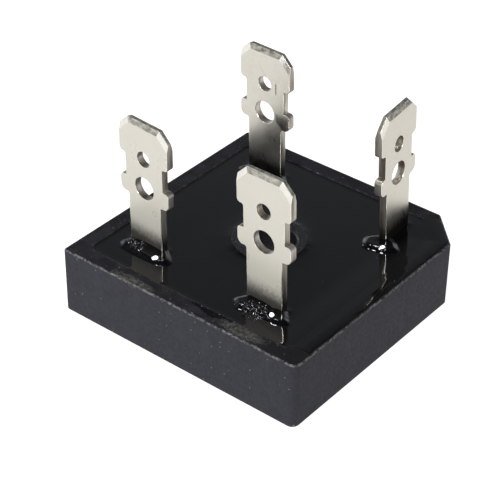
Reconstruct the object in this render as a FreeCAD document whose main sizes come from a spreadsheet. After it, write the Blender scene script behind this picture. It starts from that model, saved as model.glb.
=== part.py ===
import FreeCAD, Part
import math
import os
import Sketcher

# A single-phase bridge rectifier in a low square case, potted from the terminal side.
# Frame: +Z up along the terminals, origin on the underside at the middle of the screw hole.
# The minus terminal stands towards (-X, -Y) and the plus terminal at the cut corner (+X, +Y).

doc = FreeCAD.newDocument("BridgeRectifier")
sheet = doc.addObject("Spreadsheet::Sheet", "Sizes")

# Driving dimensions, in millimetres and degrees
SIZES = [
    ("case_side", 28.5, "width of the square case"),
    ("case_height", 7.3, "height of the moulded case"),
    ("case_wall", 1.8, "wall round the potting"),
    ("case_cut", 3.65, "leg of the cut corner that marks plus"),
    ("case_round", 0.8, "radius of the front upright corner"),
    ("case_crisp_round", 0.3, "radius of the other upright corners"),
    ("case_edge", 0.2, "radius of the outer top and bottom edges"),
    ("cavity_round", 1.0, "radius of the cavity's upright corners"),
    ("rebate_wall", 1.05, "wall round the base plate"),
    ("plate_thick", 1.2, "heat spreader"),
    ("plate_proud", 0.1, "how far the heat spreader stands out of the case"),
    ("plate_gap", 0.05, "clearance round the heat spreader"),
    ("plate_round", 1.0, "radius of the heat spreader's corners"),
    ("bore_width", 5.3, "screw hole through the sleeve"),
    ("sleeve_wall", 1.1, "wall of the sleeve"),
    ("spigot_wall", 0.7, "wall of the sleeve where it passes through the heat spreader"),
    ("spigot_gap", 0.05, "clearance round the spigot"),
    ("sleeve_lead", 0.25, "bevel at the mouth of the screw hole"),
    ("ceramic_thick", 0.6, "alumina insulator"),
    ("ceramic_margin", 0.6, "insulator's edge to the cavity wall"),
    ("ceramic_hole_gap", 0.35, "insulator's hole to the sleeve"),
    ("copper_thick", 0.5, "frames and straps"),
    ("copper_margin", 0.6, "frames' edge to the insulator's edge"),
    ("frame_width", 4.75, "arms of the two alternating-current frames"),
    ("frame_gap", 1.35, "arms' ends to the straps' landings"),
    ("landing_side", 5.4, "straps' square landing on the insulator"),
    ("arm_width", 2.6, "straps' raised arms"),
    ("arm_ramp", 0.95, "length of the step up to an arm"),
    ("arm_past", 1.4, "arm's end past the middle of the die"),
    ("minus_landing_cut", 0.5, "leg of the cut corner on the minus strap's landing"),
    ("die_side", 3.6, "square diode die"),
    ("die_thick", 0.3, "diode die"),
    ("die_inset", 0.5, "die's edge to the end of the frame's arm"),
    ("solder_thick", 0.08, "solder layer under and over a die"),
    ("solder_under_side", 3.4, "solder under a die"),
    ("solder_over_side", 2.4, "solder over a die"),
    ("blade_width", 6.35, "terminal's head"),
    ("blade_thick", 0.8, "terminal's strip"),
    ("blade_tall", 18.8, "terminal from the sole of its foot to its tip"),
    ("tip_corner", 1.1, "cut corners of the tip"),
    ("tip_bevel", 0.55, "coined bevel, along the face"),
    ("tip_bevel_deep", 0.2, "coined bevel, into the strip"),
    ("head_long", 4.05, "tip to the lower edge of the head"),
    ("head_round", 0.4, "lower corners of the head"),
    ("neck_width", 4.85, "neck between head and ears"),
    ("neck_round", 0.3, "inner corners of the neck under the head"),
    ("ear_start", 6.65, "tip to the upper edge of the ears"),
    ("ear_long", 1.9, "ears along the terminal"),
    ("ear_width", 6.35, "across the ears"),
    ("ear_round", 0.4, "upper corners of the ears"),
    ("shaft_width", 4.25, "shaft below the ears"),
    ("detent_depth", 3.95, "tip to the small hole's middle"),
    ("detent_width", 1.65, "small hole"),
    ("eye_depth", 7.25, "tip to the large hole's middle"),
    ("eye_width", 2.45, "large hole"),
    ("foot_width", 3.2, "foot that stands in the solder"),
    ("foot_long", 1.7, "foot past the strip's face"),
    ("bend_inside", 0.3, "inside radius of the bend"),
    ("shoulder_height", 2.0, "sole of the foot to the wide shaft"),
    ("mound_margin", 0.4, "solder round the foot"),
    ("mound_climb", 0.45, "solder above the sole of the foot"),
    ("mound_slope_angle", 10.0, "slope of the solder's sides"),
    ("front_inset_x", 7.83, "front terminal from the case's right side"),
    ("front_inset_y", 5.95, "front terminal from the case's front side"),
    ("front_lift", 0.55, "solder under its foot"),
    ("front_turn_angle", -1.5, "turn about the upright"),
    ("front_lean_angle", -1.4, "lean along its width"),
    ("front_tip_angle", 0.5, "lean off its face"),
    ("minus_inset_x", 5.74, "minus terminal from the case's left side"),
    ("minus_inset_y", 6.21, "minus terminal from the case's front side"),
    ("minus_lift", 0.15, "solder under its foot"),
    ("minus_turn_angle", -3.3, "turn about the upright"),
    ("minus_lean_angle", 0.5, "lean along its width"),
    ("minus_tip_angle", 1.3, "lean off its face"),
    ("back_inset_x", 6.3, "back terminal from the case's left side"),
    ("back_inset_y", 4.51, "back terminal from the case's back side"),
    ("back_lift", 0.65, "solder under its foot"),
    ("back_turn_angle", -1.6, "turn about the upright"),
    ("back_lean_angle", -0.3, "lean along its width"),
    ("back_tip_angle", 1.0, "lean off its face"),
    ("plus_inset_x", 5.47, "plus terminal from the case's right side"),
    ("plus_inset_y", 5.29, "plus terminal from the case's back side"),
    ("plus_lift", 0.65, "solder under its foot"),
    ("plus_turn_angle", -86.0, "turn about the upright"),
    ("plus_lean_angle", 2.2, "lean along its width"),
    ("plus_tip_angle", 1.4, "lean off its face"),
    ("epoxy_drop", 0.15, "potting below the case's rim"),
    ("climb_height", 0.55, "potting's meniscus up a terminal"),
    ("climb_edge", 0.15, "thickness of the meniscus at its top"),
    ("climb_steep", 0.25, "height at which the meniscus turns steep"),
    ("climb_steep_reach", 0.5, "thickness of the meniscus there"),
    ("climb_low", 0.05, "height of the meniscus's flat part"),
    ("climb_low_reach", 1.05, "thickness of the meniscus there"),
    ("climb_sunk_reach", 1.6, "where the meniscus runs out under the surface"),
    ("ring_reach", 1.5, "foot of the meniscus round the sleeve"),
    ("ring_middle", 0.5, "middle of that meniscus from the sleeve"),
    ("ring_middle_rise", 0.04, "its height there"),
]
for row, (alias, number, meaning) in enumerate(SIZES, start=1):
    sheet.set(f"A{row}", alias)
    sheet.set(f"B{row}", str(number))
    sheet.set(f"C{row}", meaning)
    sheet.setAlias(f"B{row}", alias)
doc.recompute()


def size(name):
    """The sheet's cell of that name, as an expression's term."""
    return f"Sizes.{name}"


def value(expression):
    """What an expression gives with the sheet's present numbers."""
    return float(sheet.evalExpression(expression))


NEAR = 1e-6  # two coordinates closer than this count as one

# Levels and outlines that several pieces share, worked out from the sheet
half_case = f"{size('case_side')} / 2"
case_top = f"({size('plate_proud')} + {size('case_height')})"
cavity_half = f"({half_case} - {size('case_wall')})"
ceramic_half = f"({cavity_half} - {size('ceramic_margin')})"
copper_half = f"({ceramic_half} - {size('copper_margin')})"
ceramic_top = f"({size('plate_thick')} + {size('ceramic_thick')})"
copper_top = f"({ceramic_top} + {size('copper_thick')})"
die_base = f"({copper_top} + {size('solder_thick')})"
die_top = f"({die_base} + {size('die_thick')})"
arm_base = f"({die_top} + {size('solder_thick')})"
epoxy_top = f"({case_top} - {size('epoxy_drop')})"
sleeve_width = f"({size('bore_width')} + 2 * {size('sleeve_wall')})"
spigot_width = f"({size('bore_width')} + 2 * {size('spigot_wall')})"
landing_edge = f"({copper_half} - {size('landing_side')})"
frame_reach = f"({landing_edge} - {size('frame_gap')})"
die_far = f"({copper_half} - {size('frame_width')} / 2)"
die_near = f"({frame_reach} - {size('die_inset')} - {size('die_side')} / 2)"


def cut_leg(inset):
    """Leg of the cut corner on an outline that lies inset from the case's outside all round."""
    return f"({size('case_cut')} - (2 - sqrt(2)) * ({inset}))"


# Ways of drawing that the pieces below share
def new_body(label):
    body = doc.addObject("PartDesign::Body", label)
    body.Label = label
    return body


def place(sketch, support, shift):
    """Lays a sketch on one of its own body's origin planes, moved along the plane's normal."""
    sketch.AttachmentSupport = (support, "")
    sketch.MapMode = "FlatFace"
    sketch.setExpression("AttachmentOffset.Base.z", shift)


def new_sketch(body, name, role, shift="0"):
    sketch = body.newObject("Sketcher::SketchObject", name)
    plane = next(feature for feature in body.Origin.OriginFeatures if feature.Role == role)
    place(sketch, plane, shift)
    return sketch


def hold(sketch, kind, geometry, point, expression):
    """Holds a point at a bound distance from the sketch's origin."""
    constraint = Sketcher.Constraint(kind, -1, 1, geometry, point, value(expression))
    index = sketch.addConstraint(constraint)
    sketch.setExpression(f"Constraints[{index}]", expression)


def draw_outline(sketch, corners):
    """Joins the corners by straight sides and holds each corner at its own bound place."""
    first = sketch.GeometryCount
    count = len(corners)
    points = [FreeCAD.Vector(value(across), value(along), 0) for across, along in corners]
    for number in range(count):
        side = Part.LineSegment(points[number], points[(number + 1) % count])
        sketch.addGeometry(side, False)
    for number in range(count):
        following = first + (number + 1) % count
        sketch.addConstraint(Sketcher.Constraint("Coincident", first + number, 2, following, 1))
    for number, (across, along) in enumerate(corners):
        hold(sketch, "DistanceX", first + number, 1, across)
        hold(sketch, "DistanceY", first + number, 1, along)


def draw_circle(sketch, across, along, width):
    """A circle of a bound width, held at its middle."""
    middle = FreeCAD.Vector(value(across), value(along), 0)
    circle = Part.Circle(middle, FreeCAD.Vector(0, 0, 1), value(width) / 2)
    geometry = sketch.addGeometry(circle, False)
    index = sketch.addConstraint(Sketcher.Constraint("Diameter", geometry, value(width)))
    sketch.setExpression(f"Constraints[{index}]", width)
    hold(sketch, "DistanceX", geometry, 3, across)
    hold(sketch, "DistanceY", geometry, 3, along)


def cut_square(half, leg):
    """Corners of a square about the middle, with one corner cut."""
    short = f"{half} - {leg}"
    return [(f"-{half}", f"-{half}"), (half, f"-{half}"), (half, short), (short, half),
            (f"-{half}", half)]


def rectangle(left, right, low, high):
    return [(left, low), (right, low), (right, high), (left, high)]


def pad(body, name, sketch, length, middle=False):
    feature = body.newObject("PartDesign::Pad", name)
    feature.Profile = sketch
    if middle:
        feature.SideType = "Symmetric"
    feature.setExpression("Length", length)
    doc.recompute()
    return feature


def pocket(body, name, sketch, length, upwards):
    """Cuts a sketch upwards or downwards along Z and makes sure that it did cut."""
    before = body.Shape.Volume
    feature = body.newObject("PartDesign::Pocket", name)
    feature.Profile = sketch
    feature.Reversed = upwards
    feature.setExpression("Length", length)
    doc.recompute()
    if not body.Shape.Volume < before:
        raise RuntimeError(f"{name} cuts nothing")
    return feature


def edges_where(feature, test):
    """Names of a feature's edges whose two ends and middle all pass a test."""
    names = []
    for number, edge in enumerate(feature.Shape.Edges, start=1):
        ends = [vertex.Point for vertex in edge.Vertexes]
        ends.append(edge.valueAt((edge.FirstParameter + edge.LastParameter) / 2))
        if all(test(point) for point in ends):
            names.append(f"Edge{number}")
    return names


def is_upright(edge):
    ends = [vertex.Point for vertex in edge.Vertexes]
    if len(ends) < 2:
        return False
    return abs(ends[0].x - ends[1].x) < NEAR and abs(ends[0].y - ends[1].y) < NEAR


def upright_edges(feature):
    """Names of a feature's edges that run along Z."""
    edges = enumerate(feature.Shape.Edges, start=1)
    return [f"Edge{number}" for number, edge in edges if is_upright(edge)]


def fillet(body, name, feature, edges, radius):
    rounding = body.newObject("PartDesign::Fillet", name)
    rounding.Base = (feature, edges)
    rounding.setExpression("Radius", radius)
    doc.recompute()
    return rounding


def turn_about_z(body, name, profile):
    """Revolves a profile of the XZ plane about the upright axis."""
    feature = body.newObject("PartDesign::Revolution", name)
    feature.Profile = profile
    feature.ReferenceAxis = (profile, ["V_Axis"])
    feature.Angle = 360
    doc.recompute()


def near_middle(feature, name, reach):
    """Whether an upright edge lies within a reach of the middle along both X and Y."""
    point = feature.Shape.getElement(name).Vertexes[0].Point
    return abs(point.x) < reach and abs(point.y) < reach


def below(feature, name, level):
    return all(vertex.Point.z < level + NEAR for vertex in feature.Shape.getElement(name).Vertexes)


# Case: a moulded plastic cup, open at the top and rebated underneath for the heat spreader
def make_case():
    body = new_body("case")
    outline = new_sketch(body, "CaseOutline", "XY_Plane", size("plate_proud"))
    draw_outline(outline, cut_square(half_case, size("case_cut")))
    block = pad(body, "CaseBlock", outline, size("case_height"))
    reach = value(half_case) - NEAR
    front = edges_where(block, lambda p: p.x > reach and p.y < -reach)
    others = [name for name in upright_edges(block) if name not in front]
    crisp = fillet(body, "CaseCorners", block, others, size("case_crisp_round"))
    front = edges_where(crisp, lambda p: p.x > reach and p.y < -reach)
    rounded = fillet(body, "FrontCorner", crisp, front, size("case_round"))
    low = value(size("plate_proud"))
    high = value(case_top)
    rims = edges_where(rounded, lambda p: abs(p.z - low) < NEAR)
    rims += edges_where(rounded, lambda p: abs(p.z - high) < NEAR)
    fillet(body, "CaseEdges", rounded, rims, size("case_edge"))

    mouth = new_sketch(body, "CavityOutline", "XY_Plane", case_top)
    draw_outline(mouth, cut_square(cavity_half, cut_leg(size("case_wall"))))
    cavity = pocket(body, "Cavity", mouth, f"{case_top} - {size('plate_thick')}", upwards=False)
    inner = value(cavity_half) + NEAR
    edges = [name for name in upright_edges(cavity) if near_middle(cavity, name, inner)]
    fillet(body, "CavityCorners", cavity, edges, size("cavity_round"))

    rebate_half = f"({half_case} - {size('rebate_wall')})"
    rebate = new_sketch(body, "RebateOutline", "XY_Plane", size("plate_proud"))
    draw_outline(rebate, cut_square(rebate_half, cut_leg(size("rebate_wall"))))
    depth = f"{size('plate_thick')} - {size('plate_proud')}"
    rebated = pocket(body, "Rebate", rebate, depth, upwards=True)
    reach = value(rebate_half) + NEAR
    level = value(size("plate_thick"))
    edges = [name for name in upright_edges(rebated)
             if near_middle(rebated, name, reach) and below(rebated, name, level)]
    fillet(body, "RebateCorners", rebated, edges, f"{size('plate_round')} + {size('plate_gap')}")


# Heat spreader: a nickel-plated plate that closes the underside, with a hole for the sleeve
def make_base_plate():
    body = new_body("base_plate")
    inset = f"{size('rebate_wall')} + {size('plate_gap')}"
    outline = new_sketch(body, "PlateOutline", "XY_Plane")
    draw_outline(outline, cut_square(f"({half_case} - ({inset}))", cut_leg(inset)))
    draw_circle(outline, "0", "0", f"{spigot_width} + 2 * {size('spigot_gap')}")
    plate = pad(body, "Plate", outline, size("plate_thick"))
    fillet(body, "PlateCorners", plate, upright_edges(plate), size("plate_round"))


# Sleeve: a plastic tube round the screw hole, shouldered on the heat spreader
def make_centre_sleeve():
    body = new_body("centre_sleeve")
    bore = f"{size('bore_width')} / 2"
    spigot = f"{spigot_width} / 2"
    outside = f"{sleeve_width} / 2"
    profile = new_sketch(body, "SleeveProfile", "XZ_Plane")
    draw_outline(profile, [
        (bore, size("plate_proud")), (spigot, size("plate_proud")), (spigot, size("plate_thick")),
        (outside, size("plate_thick")), (outside, case_top), (f"{bore} + {size('sleeve_lead')}", case_top),
        (bore, f"{case_top} - {size('sleeve_lead')}")])
    turn_about_z(body, "Sleeve", profile)


# Insulator: one alumina plate under the whole circuit
def make_ceramic_insulator():
    body = new_body("ceramic_insulator")
    inset = f"{size('case_wall')} + {size('ceramic_margin')}"
    outline = new_sketch(body, "CeramicOutline", "XY_Plane", size("plate_thick"))
    draw_outline(outline, cut_square(ceramic_half, cut_leg(inset)))
    draw_circle(outline, "0", "0", f"{sleeve_width} + 2 * {size('ceramic_hole_gap')}")
    pad(body, "Ceramic", outline, size("ceramic_thick"))


# Two copper frames, one stamping used twice: an L that carries two dice and one terminal
def make_ac_frame(label, turn):
    body = new_body(label)
    body.setExpression("Placement", f"placement(vector(0; 0; 0); rotation({turn}; 0; 0))")
    far = copper_half
    near = f"({copper_half} - {size('frame_width')})"
    end = frame_reach
    outline = new_sketch(body, "FrameOutline", "XY_Plane", ceramic_top)
    draw_outline(outline, [
        (f"-{end}", f"-{far}"), (far, f"-{far}"), (far, end), (near, end), (near, f"-{near}"),
        (f"-{end}", f"-{near}")])
    pad(body, "Frame", outline, size("copper_thick"))


# Two copper straps: a landing on the insulator and two raised arms, each pressed onto a die
def make_strap(label, turn, cut):
    body = new_body(label)
    body.setExpression("Placement", f"placement(vector(0; 0; 0); rotation({turn}; 0; 0))")
    far = copper_half
    edge = landing_edge
    landing = new_sketch(body, "LandingOutline", "XY_Plane", ceramic_top)
    draw_outline(landing, [
        (f"{cut} - {far}", f"-{far}"), (f"-{edge}", f"-{far}"), (f"-{edge}", f"-{edge}"),
        (f"-{far}", f"-{edge}"), (f"-{far}", f"{cut} - {far}")])
    pad(body, "Landing", landing, size("copper_thick"))
    rise = f"({arm_base} - {ceramic_top})"
    lap = f"{size('copper_thick')} * tan(atan({rise} / {size('arm_ramp')}) / 2)"
    end = f"{size('arm_past')} - {die_near}"
    profile = [
        (f"-{edge} - {lap}", ceramic_top), (f"-{edge}", ceramic_top),
        (f"{size('arm_ramp')} - {edge}", arm_base), (end, arm_base),
        (end, f"{arm_base} + {size('copper_thick')}"),
        (f"{size('arm_ramp')} - {edge} - {lap}", f"{arm_base} + {size('copper_thick')}"),
        (f"-{edge} - {lap}", copper_top)]
    for name, role, shift in (("ArmAlongX", "XZ_Plane", die_far), ("ArmAlongY", "YZ_Plane", f"-{die_far}")):
        sketch = new_sketch(body, f"{name}Profile", role, shift)
        draw_outline(sketch, profile)
        pad(body, name, sketch, size("arm_width"), middle=True)


# Dice and their solder layers: square slabs stacked on the frames' arms
def make_slab(label, across, along, low, side, thick):
    slab = doc.addObject("Part::Box", label)
    slab.Label = label
    slab.setExpression("Length", side)
    slab.setExpression("Width", side)
    slab.setExpression("Height", thick)
    slab.setExpression("Placement.Base.x", f"{across} - {side} / 2")
    slab.setExpression("Placement.Base.y", f"{along} - {side} / 2")
    slab.setExpression("Placement.Base.z", low)
    return slab


def make_die_stack(place_name, across, along):
    layer = size("solder_thick")
    return [
        make_slab(f"solder_under_{place_name}", across, along, copper_top, size("solder_under_side"), layer),
        make_slab(f"die_{place_name}", across, along, die_base, size("die_side"), size("die_thick")),
        make_slab(f"solder_over_{place_name}", across, along, die_top, size("solder_over_side"), layer)]


# Terminals: one stamping used four times, a blade with head, neck, ears and shaft on a bent foot
def bend_foot(body):
    """The strip's lower end, bent forward to stand in the solder."""
    face = f"{size('blade_thick')} / 2"
    toe = f"-{face} - {size('foot_long')}"
    thick = size("blade_thick")
    profile = new_sketch(body, "FootProfile", "YZ_Plane")
    draw_outline(profile, [
        (toe, "0"), (face, "0"), (face, size("shoulder_height")),
        (f"-{face}", size("shoulder_height")), (f"-{face}", thick), (toe, thick)])
    foot = pad(body, "Foot", profile, size("foot_width"), middle=True)
    half = value(face)
    sole = value(thick)
    inside = edges_where(foot, lambda p: abs(p.y + half) < NEAR and abs(p.z - sole) < NEAR)
    bent = fillet(body, "BendInside", foot, inside, size("bend_inside"))
    outside = edges_where(bent, lambda p: abs(p.y - half) < NEAR and abs(p.z) < NEAR)
    fillet(body, "BendOutside", bent, outside, f"{size('bend_inside')} + {thick}")


def corners_at(feature, half, depth):
    """Edges across the strip at a distance from its middle line and below the tip."""
    reach = value(half)
    level = value(f"{size('blade_tall')} - {depth}")
    return edges_where(feature, lambda p: abs(abs(p.x) - reach) < NEAR and abs(p.z - level) < NEAR)


def stamp_blade(body):
    """Head, neck, ears and shaft, with the rounded corners that the punch leaves.

    Below, the ears' outer corners and the shaft's inner ones share the ears' overhang.
    """
    top = size("blade_tall")
    head = f"{size('blade_width')} / 2"
    neck = f"{size('neck_width')} / 2"
    ear = f"{size('ear_width')} / 2"
    shaft = f"{size('shaft_width')} / 2"
    ear_end = f"({size('ear_start')} + {size('ear_long')})"
    overhang = f"({ear} - {shaft})"
    right = [
        (shaft, size("shoulder_height")), (shaft, f"{top} - {ear_end}"),
        (ear, f"{top} - {ear_end}"), (ear, f"{top} - {size('ear_start')}"),
        (neck, f"{top} - {size('ear_start')}"), (neck, f"{top} - {size('head_long')}"),
        (head, f"{top} - {size('head_long')}"), (head, f"{top} - {size('tip_corner')}"),
        (f"{head} - {size('tip_corner')}", top)]
    left = [(f"-({across})", height) for across, height in reversed(right)]
    outline = new_sketch(body, "BladeOutline", "XZ_Plane")
    draw_outline(outline, right + left)
    blade = pad(body, "Blade", outline, size("blade_thick"), middle=True)

    edges = corners_at(blade, head, size("head_long"))
    rounded = fillet(body, "HeadCorners", blade, edges, size("head_round"))
    edges = corners_at(rounded, ear, size("ear_start"))
    rounded = fillet(body, "EarUpperCorners", rounded, edges, size("ear_round"))
    edges = corners_at(rounded, ear, ear_end)
    rounded = fillet(body, "EarLowerCorners", rounded, edges, f"0.6 * {overhang}")
    edges = corners_at(rounded, neck, size("head_long"))
    rounded = fillet(body, "NeckCorners", rounded, edges, size("neck_round"))
    edges = corners_at(rounded, shaft, ear_end)
    return fillet(body, "ShaftCorners", rounded, edges, f"0.25 * {overhang}")


def coin_tip(body, feature):
    """Each face slopes in along the tip's three straight edges."""
    face = value(f"{size('blade_thick')} / 2")
    level = value(f"{size('blade_tall')} - {size('tip_corner')}") - NEAR
    for name, side in (("FrontBevel", -face), ("RearBevel", face)):
        edges = edges_where(feature, lambda p, y=side: abs(p.y - y) < NEAR and p.z > level)
        bevel = body.newObject("PartDesign::Chamfer", name)
        bevel.Base = (feature, edges)
        bevel.ChamferType = "Two distances"
        bevel.FlipDirection = side < 0
        bevel.setExpression("Size", size("tip_bevel"))
        bevel.setExpression("Size2", size("tip_bevel_deep"))
        doc.recompute()
        feature = bevel


def punch_holes(body):
    """The small detent hole and the large eye for a wire."""
    top = size("blade_tall")
    holes = new_sketch(body, "HoleOutlines", "XZ_Plane")
    draw_circle(holes, "0", f"{top} - {size('detent_depth')}", size("detent_width"))
    draw_circle(holes, "0", f"{top} - {size('eye_depth')}", size("eye_width"))
    before = body.Shape.Volume
    punched = body.newObject("PartDesign::Pocket", "Holes")
    punched.Profile = holes
    punched.SideType = "Symmetric"
    punched.setExpression("Length", f"2 * {size('blade_thick')}")
    doc.recompute()
    if not body.Shape.Volume < before:
        raise RuntimeError("the terminal's holes cut nothing")


def make_terminal(label, spot, low, turns):
    body = new_body(label)
    body.setExpression("Placement", f"placement(vector({spot}; {low}); rotation({turns}))")
    bend_foot(body)
    blade = stamp_blade(body)
    coin_tip(body, blade)
    punch_holes(body)
    return body


# Solder that a terminal's foot stands in, taken to the foot's own shape
def make_terminal_solder(label, terminal, spot, turn, lift):
    mound = new_body(f"{label}_mound")
    stand = f"placement(vector({spot}; {copper_top}); rotation({turn}; 0; 0))"
    mound.setExpression("Placement", stand)
    side = f"({size('foot_width')} / 2 + {size('mound_margin')})"
    heel = f"{size('blade_thick')} / 2 + {size('mound_margin')}"
    toe = f"-({size('blade_thick')} / 2 + {size('foot_long')} + {size('mound_margin')})"
    outline = new_sketch(mound, "MoundOutline", "XY_Plane")
    draw_outline(outline, rectangle(f"-{side}", side, toe, heel))
    block = pad(mound, "Mound", outline, f"{lift} + {size('mound_climb')}")
    block.setExpression("TaperAngle", f"-{size('mound_slope_angle')}")
    solder = doc.addObject("Part::Cut", label)
    solder.Label = label
    solder.Base = mound
    solder.Tool = terminal
    return solder


# Potting: the cast filling, with a meniscus up each terminal and round the sleeve
def draw_slot(sketch, half, radius):
    """A slot along X: two straight sides joined by two half circles."""
    reach = value(half)
    wide = value(radius)
    up = FreeCAD.Vector(0, 0, 1)
    quarter = math.pi / 2
    low_left = FreeCAD.Vector(-reach, -wide, 0)
    low_right = FreeCAD.Vector(reach, -wide, 0)
    high_right = FreeCAD.Vector(reach, wide, 0)
    high_left = FreeCAD.Vector(-reach, wide, 0)
    right_circle = Part.Circle(FreeCAD.Vector(reach, 0, 0), up, wide)
    left_circle = Part.Circle(FreeCAD.Vector(-reach, 0, 0), up, wide)
    low = sketch.addGeometry(Part.LineSegment(low_left, low_right), False)
    right = sketch.addGeometry(Part.ArcOfCircle(right_circle, -quarter, quarter), False)
    high = sketch.addGeometry(Part.LineSegment(high_right, high_left), False)
    left = sketch.addGeometry(Part.ArcOfCircle(left_circle, quarter, 3 * quarter), False)
    for first, second in ((low, right), (right, high), (high, left), (left, low)):
        sketch.addConstraint(Sketcher.Constraint("Tangent", first, 2, second, 1))
    index = sketch.addConstraint(Sketcher.Constraint("Radius", right, wide))
    sketch.setExpression(f"Constraints[{index}]", radius)
    hold(sketch, "DistanceX", right, 3, half)
    hold(sketch, "DistanceY", right, 3, "0")
    hold(sketch, "DistanceX", left, 3, f"-({half})")


def make_climb(label, terminal, lift):
    """A meniscus round a terminal's shaft, lofted through four slots in the terminal's own frame."""
    level = f"({epoxy_top} - {copper_top} - {lift})"
    half = f"({size('shaft_width')} - {size('blade_thick')}) / 2"
    sections = [
        (f"{level} - {size('epoxy_drop')}", size("climb_sunk_reach")),
        (f"{level} + {size('climb_low')}", size("climb_low_reach")),
        (f"{level} + {size('climb_steep')}", size("climb_steep_reach")),
        (f"{level} + {size('climb_height')}", size("climb_edge"))]
    slots = []
    for number, (height, reach) in enumerate(sections, start=1):
        slot = doc.addObject("Sketcher::SketchObject", f"{label}_slot_{number}")
        raised = f"{terminal.Name}.Placement * placement(vector(0; 0; {height}); rotation(0; 0; 0))"
        slot.setExpression("Placement", raised)
        draw_slot(slot, half, f"{size('blade_thick')} / 2 + {reach}")
        slots.append(slot)
    climb = doc.addObject("Part::Loft", label)
    climb.Sections = slots
    climb.Ruled = True
    climb.Solid = True
    return climb


def make_cavity_prism(label, top):
    """The cavity's own outline round the sleeve, filled from the heat spreader to a level."""
    body = new_body(label)
    outline = new_sketch(body, f"{label}_outline", "XY_Plane", size("plate_thick"))
    draw_outline(outline, cut_square(cavity_half, cut_leg(size("case_wall"))))
    draw_circle(outline, "0", "0", sleeve_width)
    block = pad(body, f"{label}_block", outline, f"{top} - {size('plate_thick')}")
    fillet(body, f"{label}_corners", block, upright_edges(block), size("cavity_round"))
    return body


def make_potting(terminals, hidden):
    fill = make_cavity_prism("potting_fill", epoxy_top)
    ring = new_body("potting_ring")
    wall = f"{sleeve_width} / 2"
    drop = size("epoxy_drop")
    profile = new_sketch(ring, "RingProfile", "XZ_Plane")
    foot = f"{wall} + {size('ring_reach')}"
    draw_outline(profile, [
        (wall, f"{epoxy_top} - {drop}"), (foot, f"{epoxy_top} - {drop}"), (foot, epoxy_top),
        (f"{wall} + {size('ring_middle')}", f"{epoxy_top} + {size('ring_middle_rise')}"), (wall, case_top)])
    turn_about_z(ring, "Ring", profile)

    climbs = [make_climb(f"climb_{name}", terminal, lift) for name, terminal, lift in terminals]
    joined = doc.addObject("Part::MultiFuse", "potting_joined")
    joined.Shapes = [fill, ring] + climbs
    column = make_cavity_prism("potting_column", f"{epoxy_top} + 2 * {size('climb_height')}")
    poured = doc.addObject("Part::Common", "potting_poured")
    poured.Base = joined
    poured.Tool = column
    buried = doc.addObject("Part::MultiFuse", "potting_buried")
    buried.Shapes = hidden
    potting = doc.addObject("Part::Cut", "potting_epoxy")
    potting.Label = "potting_epoxy"
    potting.Base = poured
    potting.Tool = buried
    return potting


make_case()
make_base_plate()
make_centre_sleeve()
make_ceramic_insulator()
make_ac_frame("ac_frame_front", "0")
make_ac_frame("ac_frame_back", "180")
make_strap("minus_strap", "0", size("minus_landing_cut"))
landing_inset = f"{size('case_wall')} + {size('ceramic_margin')} + {size('copper_margin')}"
make_strap("plus_strap", "180", cut_leg(landing_inset))

die_places = [
    ("front_minus", f"-{die_near}", f"-{die_far}"),
    ("front_plus", die_far, die_near),
    ("back_plus", die_near, die_far),
    ("back_minus", f"-{die_far}", f"-{die_near}"),
]
stacks = [piece for place_name, across, along in die_places
          for piece in make_die_stack(place_name, across, along)]

# Each terminal stands at its own distance from the two nearest sides of the case
sides = {
    "right": f"{half_case} -",
    "left": f"-{half_case} +",
    "front": f"-{half_case} +",
    "back": f"{half_case} -",
}
terminal_places = [
    ("front", "terminal_ac_front", "right", "front"),
    ("back", "terminal_ac_back", "left", "back"),
    ("minus", "terminal_minus", "left", "front"),
    ("plus", "terminal_plus", "right", "back"),
]
terminals = []
solders = []
for name, label, side_x, side_y in terminal_places:
    across = f"{sides[side_x]} {size(f'{name}_inset_x')}"
    along = f"{sides[side_y]} {size(f'{name}_inset_y')}"
    spot = f"{across}; {along}"
    lift = size(f"{name}_lift")
    turn = size(f"{name}_turn_angle")
    turns = f"{turn}; {size(f'{name}_lean_angle')}; {size(f'{name}_tip_angle')}"
    terminal = make_terminal(label, spot, f"{copper_top} + {lift}", turns)
    terminals.append((name, terminal, lift))
    solders.append(make_terminal_solder(f"terminal_solder_{name}", terminal, spot, turn, lift))

copper = [doc.getObject(name) for name in ("ac_frame_front", "ac_frame_back", "minus_strap", "plus_strap")]
buried = [doc.getObject("ceramic_insulator")] + copper + stacks + solders
buried += [terminal for _, terminal, _ in terminals]
potting = make_potting(terminals, buried)
doc.recompute()

# Every object has to be sound before anything is written
for item in doc.Objects:
    if "Invalid" in item.State or "Error" in item.State:
        raise RuntimeError(f"{item.Label} is not sound: {item.State}")

pieces = [doc.getObject(name) for name in ("case", "base_plate", "centre_sleeve")]
pieces += buried + [potting]
os.makedirs("parts", exist_ok=True)
for piece in pieces:
    if piece.Shape.isNull() or not piece.Shape.isValid():
        raise RuntimeError(f"{piece.Label} has no valid shape")
    piece.Shape.exportStep(f"parts/{piece.Label}.step")
    print(piece.Label, "solids", len(piece.Shape.Solids), "volume", round(piece.Shape.Volume, 3))
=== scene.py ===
import math

import bmesh
import bpy
from mathutils import Matrix, Vector, noise


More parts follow.
